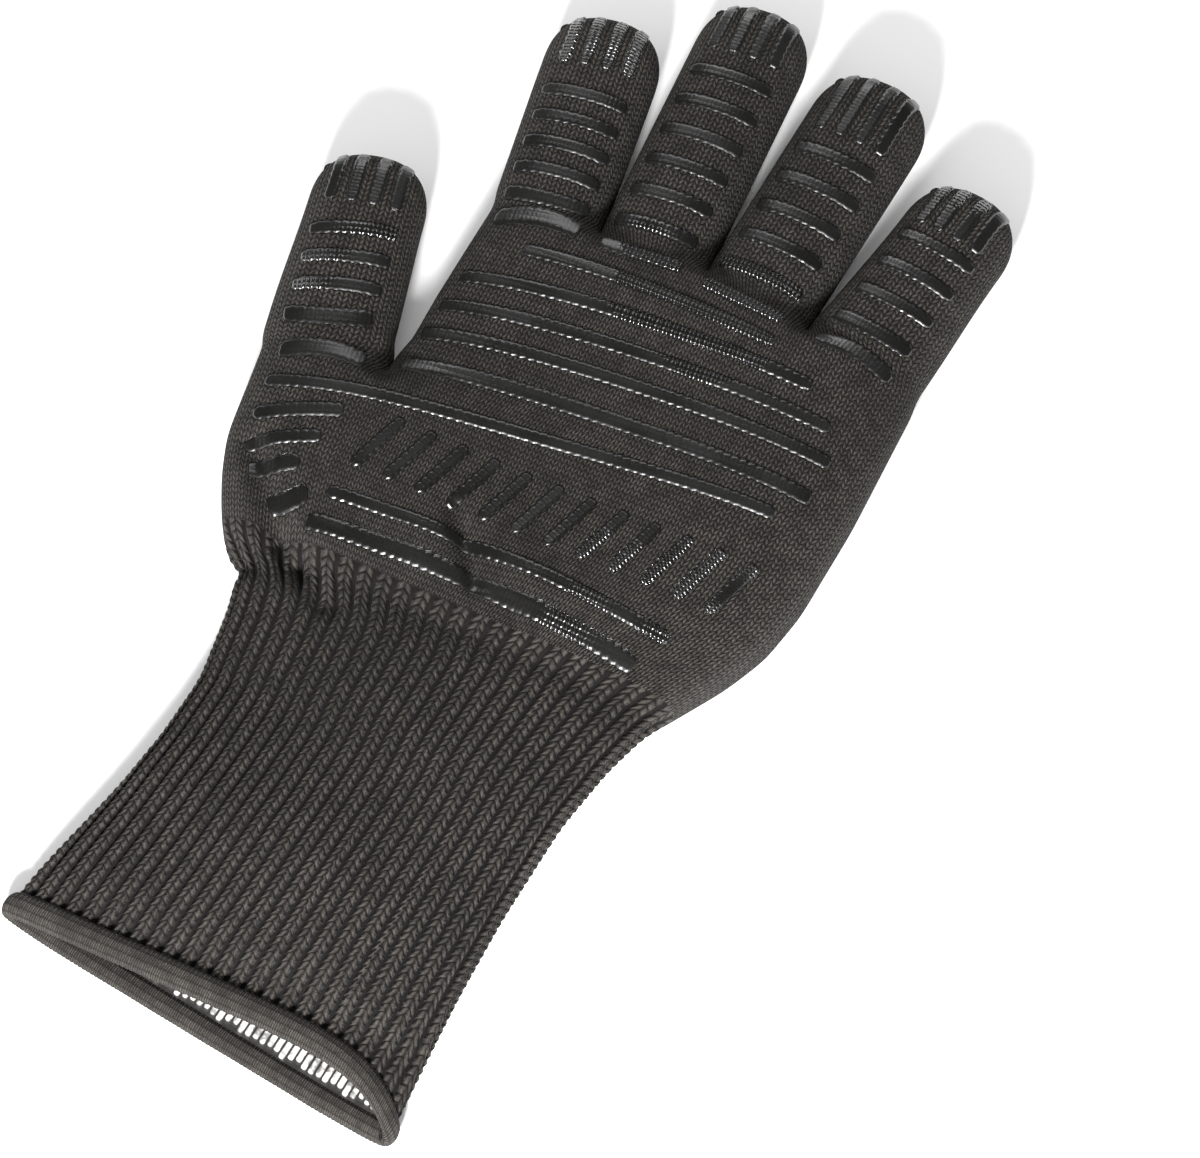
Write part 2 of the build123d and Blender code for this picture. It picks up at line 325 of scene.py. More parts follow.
def hill(across, along, reach_x, reach_y):
    """A soft bump over the plan of the glove, 1 at its middle."""
    return np.exp(-(((skin[:, 0] - across) / reach_x) ** 2) - ((skin[:, 1] - along) / reach_y) ** 2)


def groove(start, end, reach):
    """A soft line over the plan of the glove, 1 along the line between two points."""
    start, run = np.array(start, float), np.subtract(end, start).astype(float)
    share = np.clip(((skin[:, :2] - start) @ run) / (run @ run), 0, 1)
    away = np.linalg.norm(skin[:, :2] - start - share[:, None] * run, axis=1)
    return np.exp(-((away / reach) ** 2))


# The slack of an empty glove: the thumb's mound, the hollow of the palm, and the creases where the cuff takes
# over. A hill is (height, across, along, reach across, reach along), a crease is (depth, start, end, reach).
HILLS = [
    (1.4, -70, -24, 20, 26), (1.0, 48, -22, 18, 28), (-2.0, -6, -14, 34, 30), (0.9, -10, 44, 60, 10),
    (-0.8, -4, -68, 46, 5), (0.7, 10, -46, 26, 9), (1.1, -30, -50, 8, 9), (0.8, 4, -50, 10, 8),
    (1.3, -52, -58, 9, 6), (1.0, -76, -58, 9, 9), (-1.6, -20, CUFF_END + 9, 60, 5),
]
CREASES = [
    (2.1, (-25, -37), (-11, -55), 3.0), (1.2, (-19, -42), (2, -60), 4.5), (2.4, (-84, -40), (-64, -63), 3.8),
    (3.4, (-64, -63), (-56, -68), 4.2), (2.0, (-57, -68), (-44, -76), 4.2), (1.4, (-68, -70), (-78, -74), 3.0),
]
skin_normals = normals_of(skin, skin_faces)
upper = smooth(skin_normals[:, 2] * 1.5 + 0.4)
slack = sum(high * hill(*place) for high, *place in HILLS)
slack -= sum(deep * groove(*line) for deep, *line in CREASES)
slack += 0.5 * np.sin(skin[:, 1] / 9 + skin[:, 0] / 23) * hill(-10, -110, 60, 45)
side_pinch = 1.6 * hill(-72, -73, 10, 3.0)
skin += np.array([0, 0, 1.0]) * (slack * upper)[:, None]
skin -= skin_normals * side_pinch[:, None]
smooth_skin, smooth_normals = skin.copy(), normals_of(skin, skin_faces)

# The cuff's ribs: raised columns of large stitches with a deep valley between each two.
RIB_DEEP = 1.7
RIB_STITCH = 2.4
rib_place = np.zeros((len(skin), 2))
rib_place[weld.reshape(-1)] = ribs
phase = np.abs(rib_place[:, 0] % 1 - 0.5) * 2
stitch_run = rib_place[:, 1] * COURSE / RIB_STITCH + 0.6 * phase
ridge = smooth((0.98 - phase) / 0.5) * (1 - 0.2 * smooth((0.2 - phase) / 0.2))
ridge *= 0.84 + 0.16 * np.cos(2 * math.pi * stitch_run)
ribbed = smooth((RIB_START - 1 - skin[:, 1]) / 6) * (0.45 + 0.55 * smooth((skin[:, 1] - CUFF_END) / 8))
skin += smooth_normals * (RIB_DEEP * (ridge - 0.9) * ribbed)[:, None]
skin_normals = normals_of(skin, skin_faces)


def build(name, places, quads, material, uv=None, uv2=None, normals=None):
    """A mesh object in metres from points in millimetres, with its stitch and rib layers."""
    mesh = bpy.data.meshes.new(name)
    mesh.vertices.add(len(places))
    mesh.vertices.foreach_set("co", (np.asarray(places) * MM).astype(np.float32).reshape(-1))
    mesh.loops.add(quads.size)
    mesh.loops.foreach_set("vertex_index", quads.reshape(-1).astype(np.int32))
    mesh.polygons.add(len(quads))
    mesh.polygons.foreach_set("loop_start", (np.arange(len(quads)) * 4).astype(np.int32))
    for layer, values in (("stitch", uv), ("rib", uv2)):
        if values is not None:
            mesh.uv_layers.new(name=layer).uv.foreach_set("vector", values.astype(np.float32).reshape(-1))
    mesh.update(calc_edges=True)
    mesh.validate()
    mesh.shade_smooth()
    if normals is not None:
        mesh.normals_split_custom_set_from_vertices(normals.tolist())
    mesh.materials.append(material)
    made = bpy.data.objects.new(name, mesh)
    bpy.context.scene.collection.objects.link(made)
    return made


def cut(name, chosen, material):
    """One piece of the whole skin, shaded with the whole skin's normals so that its edges don't show."""
    used, quads = np.unique(skin_faces[chosen], return_inverse=True)
    corners = faces[chosen].reshape(-1)
    quads = quads.reshape(-1, 4)
    return build(name, skin[used], quads, material, stitches[corners], ribs[corners], skin_normals[used])


# ---- The hand's knit -------------------------------------------------------------------------------------
# Plain fine knit over the palm and the back, in dark grey yarn spun from black and grey fibres, so each stitch
# is a little lighter or darker than the next.
class Nodes:
    """A short way to write a material's nodes: each call adds one node and gives back its first output."""

    def __init__(self, material):
        material.use_nodes = True
        self.tree = material.node_tree
        self.surface = self.tree.nodes["Principled BSDF"]

    def add(self, kind, inputs, out=0, **settings):
        made = self.tree.nodes.new(kind)
        for key, value in settings.items():
            setattr(made, key, value)
        for key, value in inputs.items():
            self.put(made.inputs[key], value)
        return made.outputs[out]

    def put(self, socket, value):
        if isinstance(value, bpy.types.NodeSocket):
            self.tree.links.new(value, socket)
        else:
            socket.default_value = value

    def math(self, operation, *values, clamp=False):
        return self.add("ShaderNodeMath", dict(enumerate(values)), operation=operation, use_clamp=clamp)

    def noise(self, where, scale, detail=2.0, rough=0.5):
        inputs = {"Vector": where, "Scale": scale, "Detail": detail, "Roughness": rough}
        return self.add("ShaderNodeTexNoise", inputs)

    def place(self):
        return self.add("ShaderNodeTexCoord", {}, out=3)

    def ramp(self, value, low, high, to_low=0.0, to_high=1.0):
        inputs = {0: value, 1: low, 2: high, 3: to_low, 4: to_high}
        return self.add("ShaderNodeMapRange", inputs, interpolation_type="SMOOTHSTEP")

    def blend(self, share, low, high):
        made = self.tree.nodes.new("ShaderNodeMix")
        made.data_type = "RGBA"
        for index, value in ((0, share), (6, low), (7, high)):
            self.put(made.inputs[index], value)
        return made.outputs[2]

    def bump(self, height, strength, distance, under=None):
        inputs = {"Height": height, "Strength": strength, "Distance": distance}
        if under is not None:
            inputs["Normal"] = under
        return self.add("ShaderNodeBump", inputs)


def stitch_height(n, layer, rows_per_stitch, lean, leg_at=0.24, leg_reach=0.26):
    """Height of a knitted surface, in columns of V shapes with two leaning legs of yarn.

    Also gives how far off its column's middle each point is.
    """
    where = n.add("ShaderNodeUVMap", {}, uv_map=layer)
    split = n.tree.nodes.new("ShaderNodeSeparateXYZ")
    n.tree.links.new(where, split.inputs[0])
    wobble = n.noise(where, 0.55, 1.0)
    column = n.math("ADD", split.outputs[0], n.math("MULTIPLY", n.math("SUBTRACT", wobble, 0.5), 0.16))
    off = n.math("ABSOLUTE", n.math("SUBTRACT", n.math("FRACT", column), 0.5))
    leg = n.math("DIVIDE", n.math("ABSOLUTE", n.math("SUBTRACT", off, leg_at)), leg_reach)
    across = n.math("SUBTRACT", 1.0, n.math("POWER", n.math("MINIMUM", leg, 1.0), 2.0), clamp=True)
    run = n.math("ADD", n.math("DIVIDE", split.outputs[1], rows_per_stitch), n.math("MULTIPLY", off, lean))
    beat = n.math("SUBTRACT", n.math("MULTIPLY", n.math("FRACT", run), 2.0), 1.0)
    along = n.math("SUBTRACT", 1.0, n.math("POWER", n.math("ABSOLUTE", beat), 2.5), clamp=True)
    return n.math("MULTIPLY", across, n.math("ADD", 0.3, n.math("MULTIPLY", along, 0.7))), off


def knit_material(name, layer, rows_per_stitch, lean, dark, light, deep, ribbed=False):
    """Matt yarn: stitches in relief, each with fibres of two greys; painted shade in the gaps, the raised yarn
    painted lighter.
    """
    material = bpy.data.materials.new(name)
    n = Nodes(material)
    where = n.place()
    legs = (0.19, 0.22) if ribbed else (0.24, 0.26)
    height, off = stitch_height(n, layer, rows_per_stitch, lean, *legs)
    fibre = n.noise(where, 2600.0, 3.0, 0.7)
    patch = n.noise(where, 260.0, 2.0, 0.6)
    cloud = n.noise(where, 22.0, 2.0)
    # Painted shade and highlight: darker where the yarn dips between stitches, lighter on its raised tops. The
    # fibre, patch and cloud noises are the yarn's own tone.
    tone_and_painted_shade = n.math("MULTIPLY", n.ramp(height, 0.05, 0.9), n.ramp(fibre, 0.3, 0.75, 0.35, 1.1))
    tone_and_painted_shade = n.math("MULTIPLY", tone_and_painted_shade, n.ramp(patch, 0.3, 0.7, 0.55, 1.15))
    tone_and_painted_shade = n.math("MULTIPLY", tone_and_painted_shade, n.ramp(cloud, 0.3, 0.7, 0.8, 1.15))
    # Painted shade: on the ribbed cuff the colour falls almost to black towards each column's edge, in the
    # valleys between the ribs.
    if ribbed:
        tone_and_painted_shade = n.math("MULTIPLY", tone_and_painted_shade, n.ramp(off, 0.34, 0.47, 1.0, 0.06))
    n.put(n.surface.inputs["Base Color"], n.blend(n.math("MINIMUM", tone_and_painted_shade, 1.0), dark, light))
    n.put(n.surface.inputs["Roughness"], n.ramp(fibre, 0.2, 0.8, 0.95, 0.72))
    n.surface.inputs["Specular IOR Level"].default_value = 0.18
    n.surface.inputs["Sheen Weight"].default_value = 0.03
    n.surface.inputs["Sheen Roughness"].default_value = 0.4
    yarn = n.bump(height, 1.0, deep)
    n.put(n.surface.inputs["Normal"], n.bump(fibre, 0.3, 0.00025, yarn))
    return material


KNIT_DARK = (0.0048, 0.0042, 0.0037, 1)
KNIT_LIGHT = (0.066, 0.0585, 0.051, 1)
fine_knit = knit_material("fine_knit", "stitch", 1.67, 1.5, KNIT_DARK, KNIT_LIGHT, 0.0008)

band_of, side_of, row_of = keys[:, 0], keys[:, 1], keys[:, 2]
LOW_SPLIT = len(cuff_rows) - 1
BEND = 8.5  # how far each side of a fold the cloth bends
row_splits = {}
for n, name in enumerate(BANDS):
    knuckle, ahead, length, joint_gap = finger_lines[name]
    middles = smooth_skin[grids[n, 1][:, COLUMNS // 2], :2]
    along = (middles - knuckle) @ ahead
    in_hand = bands[n, 1][1]
    rows = np.arange(len(along))
    first = int(rows[(rows >= in_hand) & (along > -BEND - 1.2)][0])
    row_splits[n] = (first, int(rows[(rows > first) & (along > joint_gap / 2)][0]))
first_split = np.array([row_splits[n][0] for n in range(5)])[band_of]
second_split = np.array([row_splits[n][1] for n in range(5)])[band_of]
hand_knit = cut("hand_knit", (row_of >= LOW_SPLIT) & (row_of < first_split), fine_knit)
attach(hand_knit, "hand")
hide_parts("hand_shell")


def bend_finger(piece):
    """Bakes a piece's placement into its points; it doesn't bend it."""
    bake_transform(piece)


for n, name in enumerate(BANDS):
    mine = band_of == n
    lower = cut(f"{name}_lower_knit", mine & (row_of >= first_split) & (row_of < second_split), fine_knit)
    upper_knit = cut(f"{name}_upper_knit", mine & (row_of >= second_split), fine_knit)
    for piece, node, is_upper in ((lower, "base", False), (upper_knit, "tip", True)):
        bend_finger(piece)
        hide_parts(f"{name}_{node}_shell")

# ---- The cuff's knit -------------------------------------------------------------------------------------
# A long stretchy cuff, knitted in one with the hand but in thick ribs, which grip the wrist and still open wide
# enough for a hand to go in.
rib_rows = RIB_STITCH / COURSE
rib_knit = knit_material("rib_knit", "rib", rib_rows, 1.6, KNIT_DARK, KNIT_LIGHT, 0.0012, ribbed=True)
cuff_knit = cut("cuff_knit", row_of < LOW_SPLIT, rib_knit)


def bend_wrist(piece):
    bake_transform(piece)


bend_wrist(cuff_knit)
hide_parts("cuff_shell")

# ---- The binding of the cuff's mouth ---------------------------------------------------------------------
# A fine knitted tape rolled over the cuff's raw edge and stitched down, so the edge can't unravel. Its short
# stitches run across the roll.
def mouth_row(row):
    """The skin's points once round the cuff, that many rows in from its mouth."""
    palm_side = [grids[n, 1][row, :-1] for n in range(5)]
    back_side = [grids[n, -1][row, :0:-1] for n in reversed(range(5))]
    return np.concatenate(palm_side + back_side)


ring = mouth_row(0)
ring_points, ring_normals = smooth_skin[ring], smooth_normals[ring]
ring_out = ring_points - smooth_skin[mouth_row(6)]
ring_out /= np.linalg.norm(ring_out, axis=1)[:, None]


def around(values, count):
    """Values round the closed ring of the mouth, read at evenly spaced places by straight interpolation."""
    gaps = np.linalg.norm(np.diff(ring_points, axis=0, append=ring_points[:1]), axis=1)
    run = np.concatenate([[0], np.cumsum(gaps)])
    at = np.arange(count) / count * run[-1]
    closed = np.vstack([values, values[:1]])
    return np.column_stack([np.interp(at, run, closed[:, k]) for k in range(3)])


def rolled(values, times):
    """The closed ring's values, each drawn towards its neighbours so that sharp ends turn round."""
    for _ in range(times):
        values = values * 0.5 + (np.roll(values, 1, axis=0) + np.roll(values, -1, axis=0)) * 0.25
    return values


STITCHES = 190  # short stitches round the binding
PER_STITCH = 6
PIPE = 22  # mesh points round the roll
ROLL_LONG, ROLL_HIGH = 3.5, 2.3
spine = around(ring_points, STITCHES * PER_STITCH)
outwards = around(ring_out, STITCHES * PER_STITCH)
up_axis = around(ring_normals, STITCHES * PER_STITCH)
spine, outwards, up_axis = rolled(spine, 40), rolled(outwards, 60), rolled(up_axis, 60)
outwards /= np.linalg.norm(outwards, axis=1)[:, None]
up_axis /= np.linalg.norm(up_axis, axis=1)[:, None]
steps = np.arange(STITCHES * PER_STITCH)
beat = np.abs(np.sin(math.pi * steps / PER_STITCH)) ** 0.7
waver = 0.12 * np.sin(steps * 0.031) + 0.1 * np.sin(steps * 0.083 + 1)
angles = np.arange(PIPE) / PIPE * 2 * math.pi
swell = 1 + 0.05 * beat + 0.05 * waver
pipe = (
    (spine + outwards * 2.4 - up_axis * 0.5)[:, None]
    + (outwards * (ROLL_LONG * swell)[:, None])[:, None] * np.cos(angles)[None, :, None]
    + (up_axis * (ROLL_HIGH * swell)[:, None])[:, None] * np.sin(angles)[None, :, None]
)
pipe[:, :, 2] = np.maximum(pipe[:, :, 2], 0.15)
index = np.arange(pipe.shape[0] * PIPE).reshape(-1, PIPE)
beside, beyond = np.roll(index, -1, 1), np.roll(index, -1, 0)
quads = np.stack([index, beside, np.roll(beyond, -1, 1), beyond], -1)
corner_u = np.array([0, 1, 1, 0]) + np.arange(PIPE)[:, None]
corner_v = np.array([0, 0, 1, 1]) + steps[:, None, None]
tape_uv = np.stack(np.broadcast_arrays(corner_v / PER_STITCH, corner_u[None] / 2.2), -1).reshape(-1, 2)
TAPE_DARK, TAPE_LIGHT = (0.009, 0.008, 0.007, 1), (0.058, 0.052, 0.046, 1)
tape = knit_material("bound_tape", "stitch", 1.0, 0.3, TAPE_DARK, TAPE_LIGHT, 0.0003)
binding = build("cuff_edge_binding", pipe.reshape(-1, 3), quads.reshape(-1, 4), tape, uv=tape_uv)
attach(binding, "cuff")
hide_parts("cuff_binding")

# ---- The lining ------------------------------------------------------------------------------------------
# A soft cotton glove inside the knit, made in the same shape and tacked to it at the fingertips and at the
# cuff's mouth. Only its edge inside the mouth is seen.
LINING_GAP = 2.6
LINING_STEP = 4
COTTON_DARK, COTTON_LIGHT = (0.014, 0.0125, 0.011, 1), (0.095, 0.087, 0.079, 1)
jersey = knit_material("cotton_jersey", "stitch", 1.0, 1.2, COTTON_DARK, COTTON_LIGHT, 0.0003)


def lining_piece(name, strips):
    """The skin's coarser copy, drawn inwards, over the given strips and rows."""
    places, quads, coords, start = [], [], [], 0
    for (n, side), (low, high) in strips.items():
        rows = np.unique(np.append(np.arange(low, high, LINING_STEP), high))
        columns = np.arange(0, COLUMNS + 1, LINING_STEP)
        grid = grids[n, side][np.ix_(rows, columns)]
        inner = smooth_skin[grid] - smooth_normals[grid] * LINING_GAP
        index = start + np.arange(grid.size).reshape(grid.shape)
        made = np.stack([index[:-1, :-1], index[1:, :-1], index[1:, 1:], index[:-1, 1:]], -1).reshape(-1, 4)
        made = made if side > 0 else made[:, ::-1]
        spread = np.stack(np.broadcast_arrays(columns[None] * 0.8, rows[:, None] * 0.8), -1).reshape(-1, 2)
        places.append(inner.reshape(-1, 3))
        quads.append(made)
        coords.append(spread[made.reshape(-1) - start])
        start += grid.size
    return build(name, np.concatenate(places), np.concatenate(quads), jersey, uv=np.concatenate(coords))


both = [(n, side) for n in range(5) for side in (1, -1)]
cuff_lining = lining_piece("cuff_lining_cotton", {key: (0, LOW_SPLIT) for key in both})
bend_wrist(cuff_lining)
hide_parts("cuff_lining")
hand_lining = lining_piece("hand_lining_cotton", {(n, s): (LOW_SPLIT, row_splits[n][0]) for n, s in both})
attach(hand_lining, "hand")
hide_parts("hand_lining")
linings = [cuff_lining, hand_lining]
for n, name in enumerate(BANDS):
    last = len(grids[n, 1]) - 9
    lows, highs = row_splits[n]
    lower_lining = lining_piece(f"{name}_lower_lining", {(n, s): (lows, highs) for s in (1, -1)})
    upper_lining = lining_piece(f"{name}_upper_lining", {(n, s): (highs, last) for s in (1, -1)})
    bend_finger(lower_lining)
    bend_finger(upper_lining)
    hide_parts(f"{name}_base_lining")
    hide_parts(f"{name}_tip_lining")
    linings += [lower_lining, upper_lining]

# ---- The printed grip ------------------------------------------------------------------------------------
# Black silicone, screen printed through a stencil onto the palm side and cured. It is a thin film that soaks
# into the stitches, so its top follows them and its edges are scalloped by the columns.
def film_material(name):
    """Black rubbery film: mostly smooth and dark, with glossier blotches, where the knit shows through."""
    material = bpy.data.materials.new(name)
    n = Nodes(material)
    place = n.place()
    height = stitch_height(n, "stitch", 1.0, 0.5)[0]
    patch = n.noise(place, 55.0, 2.0, 0.55)
    blotch = n.noise(place, 21.0, 1.0, 0.5)
    fine = n.noise(place, 900.0, 2.0, 0.6)
    black, worn = (0.0022, 0.0020, 0.0018, 1), (0.0065, 0.0061, 0.0055, 1)
    n.put(n.surface.inputs["Base Color"], n.blend(fine, black, worn))
    n.put(n.surface.inputs["Roughness"], n.ramp(patch, 0.3, 0.7, 0.44, 0.3))
    n.surface.inputs["Specular IOR Level"].default_value = 1.0
    glossy = n.ramp(blotch, 0.59, 0.66)
    n.put(n.surface.inputs["Coat Weight"], glossy)
    n.surface.inputs["Coat Roughness"].default_value = 0.16
    soaked = n.bump(height, n.ramp(glossy, 0.0, 1.0, 0.1, 0.9), 0.0005)
    n.put(n.surface.inputs["Coat Normal"], soaked)
    n.put(n.surface.inputs["Normal"], n.bump(fine, 0.25, 0.00012, soaked))
    return material


film = film_material("silicone_film")
fronts = side_of > 0
cover = BVHTree.FromPolygons(smooth_skin.tolist(), skin_faces[fronts].tolist())


def islands(node):
    """The plan outline points of each separate solid of a CAD node, in millimetres."""
    mesh = frame["nodes"][node].data
    places = np.array([v.co for v in mesh.vertices]) / MM
    _, label = np.unique(np.round(places, 3), axis=0, return_inverse=True)
    label = label.reshape(-1)
    ends = label[np.array([e.vertices[:] for e in mesh.edges])]
    group = np.arange(label.max() + 1)
    while True:
        low = np.minimum(group[ends[:, 0]], group[ends[:, 1]])
        after = group.copy()
        np.minimum.at(after, ends[:, 0], low)
        np.minimum.at(after, ends[:, 1], low)
        after = after[after]
        if (after == group).all():
            break
        group = after
    owner = group[label]
    return [places[owner == g] for g in np.unique(owner)]


def strip_line(outline):
    """The start, direction, length, half width and bow of one printed strip, from its outline."""
    plan = outline[:, :2]
    middle = (plan.max(0) + plan.min(0)) / 2
    along = np.linalg.svd(plan - plan.mean(0), full_matrices=False)[2][0]
    along = along * np.sign(along[0] + along[1] * 0.2)
    side = np.array([-along[1], along[0]])
    x, y = (plan - middle) @ along, (plan - middle) @ side
    bow = np.polyfit(x, y, 2)
    width = np.abs(y - np.polyval(bow, x)).max()
    return middle, along, side, x.min(), x.max(), width, bow


FILM_HIGH = 0.68
FILM_WALE = 2.35  # spacing of the knit's columns, which the film's edge takes on
FILM_ACROSS = np.sin(np.linspace(-math.pi / 2, math.pi / 2, 15))


def draped(plan, lift):
    """Points of a plan laid on the knit's palm side, and lifted off it along its normal."""
    made = np.zeros((len(plan), 3))
    for i, (px, py) in enumerate(plan):
        hit, normal, _, _ = cover.ray_cast(Vector((px, py, 60)), Vector((0, 0, -1)))
        if hit is None:
            hit, normal, _, _ = cover.find_nearest(Vector((px, py, FINGER_HIGH * 0.5)))
        made[i] = np.array(hit) + np.array(normal) * math.copysign(lift[i], normal.z)
    return made


def film_piece(name, outlines, node):
    """The printed strips of one piece of knit, each with a rounded edge, as one piece."""
    places, quads, coords, start = [], [], [], 0
    for outline in outlines:
        middle, along, side, low, high, width, bow = strip_line(outline)
        length = high - low
        count = max(int(length / 0.36), 14)
        t = np.sin(np.linspace(-1, 1, count) * math.pi / 2) * 0.25 + np.linspace(-1, 1, count) * 0.75
        x = (low + high) / 2 + t * length / 2
        wale = np.sin(2 * math.pi * (x + middle[0] + middle[1]) / FILM_WALE)
        edge = 1 + 0.05 * wale + 0.035 * np.sin(x * 2.1 + middle[1])
        ends = np.sqrt(np.clip(1 - np.abs(t) ** (length / 1.3), 0, 1))
        reach = np.maximum(width * edge * np.maximum(ends, 0.5), 0.4)
        y = np.polyval(bow, x)[:, None] + reach[:, None] * FILM_ACROSS[None]
        shape = np.sin(np.minimum((1 - np.abs(FILM_ACROSS)) / 0.36, 1) * math.pi / 2)
        rim = np.abs(FILM_ACROSS) ** 4
        lift = FILM_HIGH * shape[None] * np.minimum(ends * 1.5, 1)[:, None]
        ragged = 0.24 + 0.2 * np.sin(x * 0.11 + middle[1] * 1.7)
        lift = lift * (1 + (ragged * wale)[:, None] * rim[None]) - 0.12
        plan = middle + x[:, None, None] * along + y[..., None] * side
        index = start + np.arange(lift.size).reshape(lift.shape)
        quad = np.stack([index[:-1, :-1], index[1:, :-1], index[1:, 1:], index[:-1, 1:]], -1).reshape(-1, 4)
        spread = np.stack(np.broadcast_arrays(x[:, None] / FILM_WALE, y / 1.7), -1).reshape(-1, 2)
        places.append(draped(plan.reshape(-1, 2), lift.reshape(-1)))
        quads.append(quad)
        coords.append(spread[quad.reshape(-1) - start])
        start += lift.size
    piece = build(name, np.concatenate(places), np.concatenate(quads), film, uv=np.concatenate(coords))
    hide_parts(node)
    return piece


# Each stripe is grouped with the piece of knit that it lies on, and each group is made as one piece.
striped = ["palm_stripes"] + [f"{name}_{half}_stripes" for name in BANDS for half in ("base", "tip")]
groups = {}
for outline in [o for node in striped for o in islands(node)]:
    centre = (outline[:, :2].max(0) + outline[:, :2].min(0)) / 2
    group = "palm"
    for name, (knuckle, ahead, length, joint_gap) in finger_lines.items():
        past, off = (centre - knuckle) @ ahead, abs(np.cross(ahead, centre - knuckle))
        if past > -BEND - 1.2 and off < 13:
            group = (name, past > joint_gap / 2)
    groups.setdefault(group, []).append(outline)
palm_film = film_piece("palm_grip_stripes", groups["palm"], "palm_stripes")
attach(palm_film, "hand")
bar_film = film_piece("palm_grip_bars", islands("palm_bars"), "palm_bars")
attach(bar_film, "hand")
for name in BANDS:
    lower_film = film_piece(f"{name}_lower_grip", groups[name, False], f"{name}_base_stripes")
    bend_finger(lower_film)
    upper_film = film_piece(f"{name}_upper_grip", groups[name, True], f"{name}_tip_stripes")
    bend_finger(upper_film)

# ---- The grip band inside the cuff -----------------------------------------------------------------------
# A narrow ring of silicone, printed as short beads on the lining just inside the mouth. It keeps the cuff from
# sliding
# down the arm. A painted glint: the beads' raised tops are painted pale.
BEADS = 112
PER_BEAD = 8
BEAD_HIGH = 0.95
BAND_START, BAND_DEEP = 0.2, 9.5  # from the knit's edge, before the tape is rolled over it


def silicone_painted_glint_material():
    """Silicone with a painted glint, pale where the bead stands up, and the dark lining between the beads."""
    material = bpy.data.materials.new("silicone_painted_glint")
    n = Nodes(material)
    split = n.tree.nodes.new("ShaderNodeSeparateXYZ")
    n.tree.links.new(n.add("ShaderNodeUVMap", {}, uv_map="stitch"), split.inputs[0])
    height = split.outputs[1]
    patchy = n.ramp(n.noise(n.place(), 420.0, 2.0), 0.36, 0.6, 0.25, 1.0)
    # Painted glint: the pale colour on the raised part of each bead stands in for its shine.
    glint_painted_share = n.math("MULTIPLY", n.ramp(height, 0.3, 0.75), patchy)
    n.put(n.surface.inputs["Base Color"], n.blend(glint_painted_share, (0.012, 0.011, 0.010, 1), (0.8, 0.79, 0.76, 1)))
    n.put(n.surface.inputs["Roughness"], n.ramp(height, 0.2, 0.7, 0.8, 0.25))
    n.put(n.surface.inputs["Normal"], n.bump(n.noise(n.place(), 1500.0, 2.0), 0.3, 0.0002))
    return material


band_rows = np.linspace(0, 1, 19)
spots = np.arange(BEADS * PER_BEAD)
inner_spine, inner_out, inner_up = (
    rolled(around(values, len(spots)), 10) for values in (ring_points, ring_out, ring_normals)
)
which = spots // PER_BEAD
ridge = np.sin(math.pi * (spots % PER_BEAD + 0.5) / PER_BEAD) ** 0.8
head = (0.10 + 0.10 * np.sin(which * 1.7) * np.sin(which * 0.37))[:, None]
foot = (0.78 + 0.16 * np.sin(which * 2.3 + 1))[:, None]
bead = ridge[:, None] * np.clip(np.minimum(band_rows - head, foot - band_rows) / 0.09, 0, 1) ** 0.5
depth = BAND_START - BAND_DEEP * band_rows
drop = LINING_GAP + 0.05 + BEAD_HIGH * bead
inner = inner_spine[:, None] + inner_out[:, None] * depth[None, :, None]
inner = inner - inner_up[:, None] * drop[:, :, None]
index = np.arange(bead.size).reshape(bead.shape)
after = np.roll(index, -1, 0)
quads = np.stack([index[:, :-1], index[:, 1:], after[:, 1:], after[:, :-1]], -1).reshape(-1, 4)
spread = np.stack(np.broadcast_arrays(spots[:, None] * 1.0, bead), -1).reshape(-1, 2)
silicone_painted_glint = silicone_painted_glint_material()
grip_band = build("cuff_grip_ring", inner.reshape(-1, 3), quads, silicone_painted_glint, uv=spread[quads.reshape(-1)])
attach(grip_band, "cuff")
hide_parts("cuff_grip_band")

# ---- The yarn tails --------------------------------------------------------------------------------------
# The end of the knit's own yarn at each fingertip. The last stitches are drawn shut with it, and what is left
# over stands out as a small loose curl.
YARN_THICK = 0.00042
CURL_POINTS = 11


def loose_yarn_material():
    """The knit's own yarn, with its hairs standing off."""
    material = bpy.data.materials.new("loose_yarn")
    n = Nodes(material)
    hairs = n.noise(n.place(), 3000.0, 3.0, 0.7)
    n.put(n.surface.inputs["Base Color"], n.blend(hairs, KNIT_DARK, KNIT_LIGHT))
    n.surface.inputs["Roughness"].default_value = 0.9
    n.put(n.surface.inputs["Normal"], n.bump(hairs, 0.6, 0.0003))
    return material


yarn = loose_yarn_material()
for name in BANDS:
    low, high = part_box(f"{name}_yarn_tail")
    middle = (low + high) / 2
    thread = bpy.data.curves.new(f"{name}_yarn_loop", "CURVE")
    thread.dimensions = "3D"
    thread.bevel_depth = YARN_THICK
    thread.bevel_resolution = 3
    for k in range(2):
        line = thread.splines.new("NURBS")
        line.points.add(CURL_POINTS - 1)
        size = 0.0012 - 0.0003 * k
        for i in range(CURL_POINTS):
            turn = math.radians(-80 + 26 * i + 50 * k)
            up = 0.0003 * (i - 5) * (1 - 1.4 * k)
            offset = Vector((0.0006 - math.cos(turn) * size, math.sin(turn) * size, up))
            line.points[i].co = (*(middle + offset), 1)
        line.order_u = 4
        line.use_endpoint_u = True
    loop = bpy.data.objects.new(f"{name}_yarn_loop", thread)
    bpy.context.scene.collection.objects.link(loop)
    thread.materials.append(yarn)
    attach(loop, f"{name}_tip")
    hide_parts(f"{name}_yarn_tail")

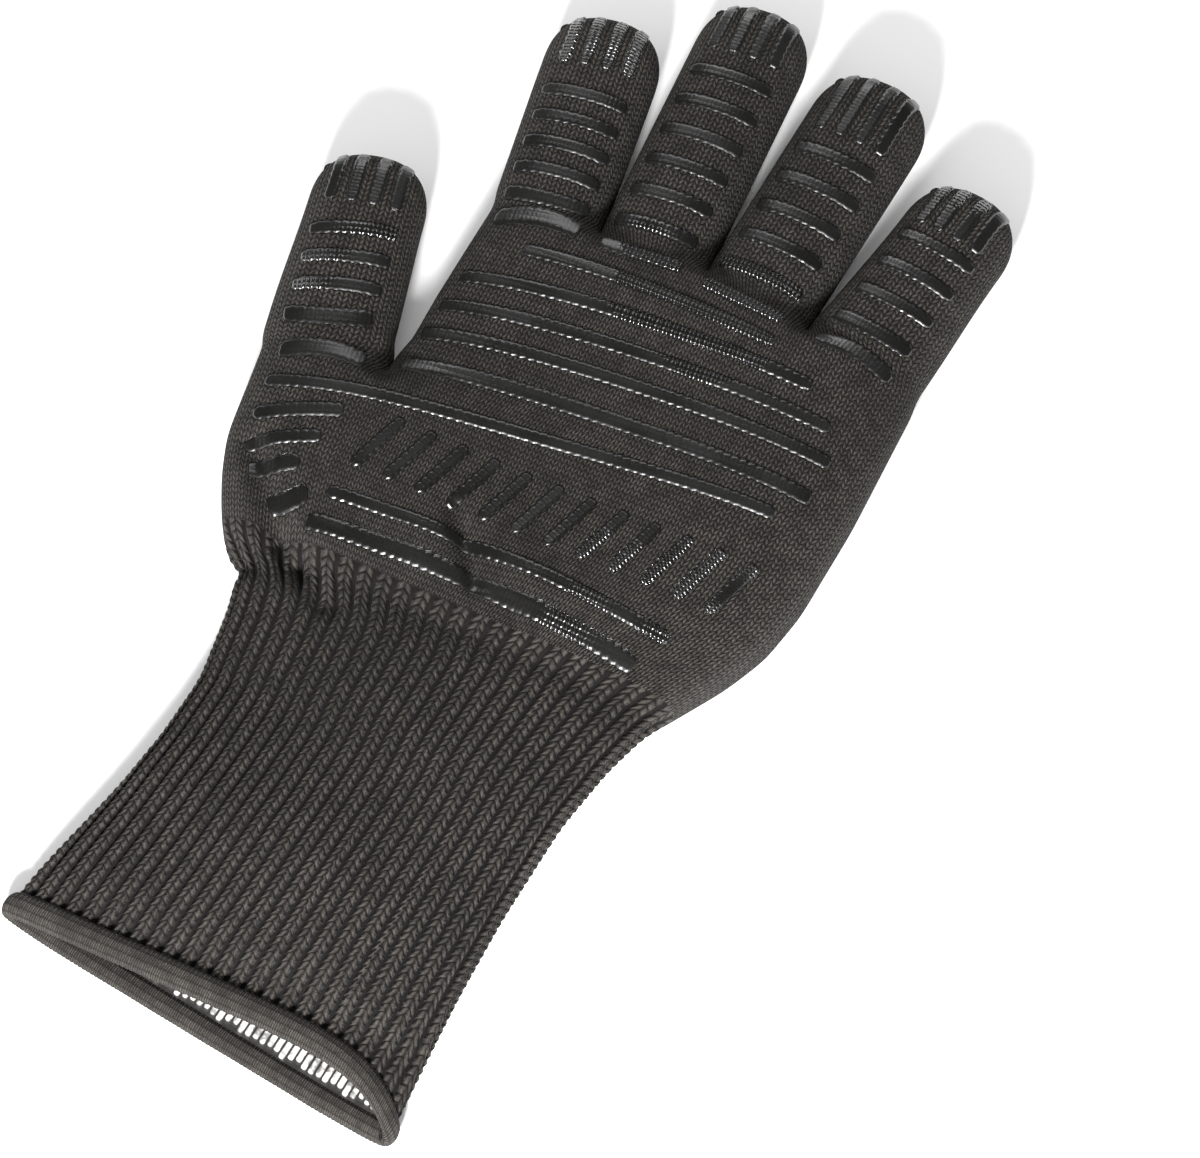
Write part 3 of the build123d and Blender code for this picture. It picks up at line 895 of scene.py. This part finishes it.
# ---- The studio ------------------------------------------------------------------------------------------
# A white paper floor under an even white sky, with one low soft light near the camera's side, which catches the
# near edge of each printed stripe, and a wider and much weaker one on the far side.
FLOOR_WHITE = (0.93, 0.93, 0.93, 1)
bpy.ops.mesh.primitive_plane_add(size=20, location=(0, 0, -0.0005))
floor = bpy.context.object
floor.name = "floor"
paper = bpy.data.materials.new("paper")
paper.use_nodes = True
paper.node_tree.nodes["Principled BSDF"].inputs["Base Color"].default_value = FLOOR_WHITE
paper.node_tree.nodes["Principled BSDF"].inputs["Roughness"].default_value = 0.9
floor.data.materials.append(paper)
world = bpy.data.worlds.new("studio")
world.use_nodes = True
world.node_tree.nodes["Background"].inputs["Color"].default_value = (1, 1, 1, 1)
sky = world.node_tree
path = sky.nodes.new("ShaderNodeLightPath")
dimmed = sky.nodes.new("ShaderNodeMapRange")  # the sky's light, and how little of it shows in the shine
sky.links.new(path.outputs["Is Glossy Ray"], dimmed.inputs[0])
dimmed.inputs[3].default_value, dimmed.inputs[4].default_value = 0.8, 0.06
sky.links.new(dimmed.outputs[0], sky.nodes["Background"].inputs["Strength"])
bpy.context.scene.world = world
bpy.context.scene.view_settings.view_transform = "Standard"


def towards(azimuth, elevation):
    """The direction from the glove to something round it, with both angles in degrees."""
    turn, rise = math.radians(azimuth), math.radians(elevation)
    return Vector((math.sin(turn) * math.cos(rise), -math.cos(turn) * math.cos(rise), math.sin(rise)))


DISTANCE = 1.8
VIEW_WIDTH = 0.3156  # width of the picture at the glove
target = Vector((0.0159, -0.0350, 0.012))
lens = bpy.data.cameras.new("camera")
lens.lens = 36 * DISTANCE / VIEW_WIDTH
camera = bpy.data.objects.new("camera", lens)
bpy.context.scene.collection.objects.link(camera)
camera.location = target + towards(25.5, 59) * DISTANCE
camera.rotation_euler = (target - camera.location).to_track_quat("-Z", "Y").to_euler()
bpy.context.scene.camera = camera
LAMP_AWAY = 1.1
for name, turn, rise, power, size in (("front_light", 12, 27, 34, 0.16), ("rear_light", 203, 27, 2.5, 0.5)):
    soft = bpy.data.lights.new(name, "AREA")
    soft.energy = power
    soft.size = size
    lamp = bpy.data.objects.new(name, soft)
    bpy.context.scene.collection.objects.link(lamp)
    lamp.location = towards(turn, rise) * LAMP_AWAY
    lamp.rotation_euler = (-lamp.location).to_track_quat("-Z", "Y").to_euler()
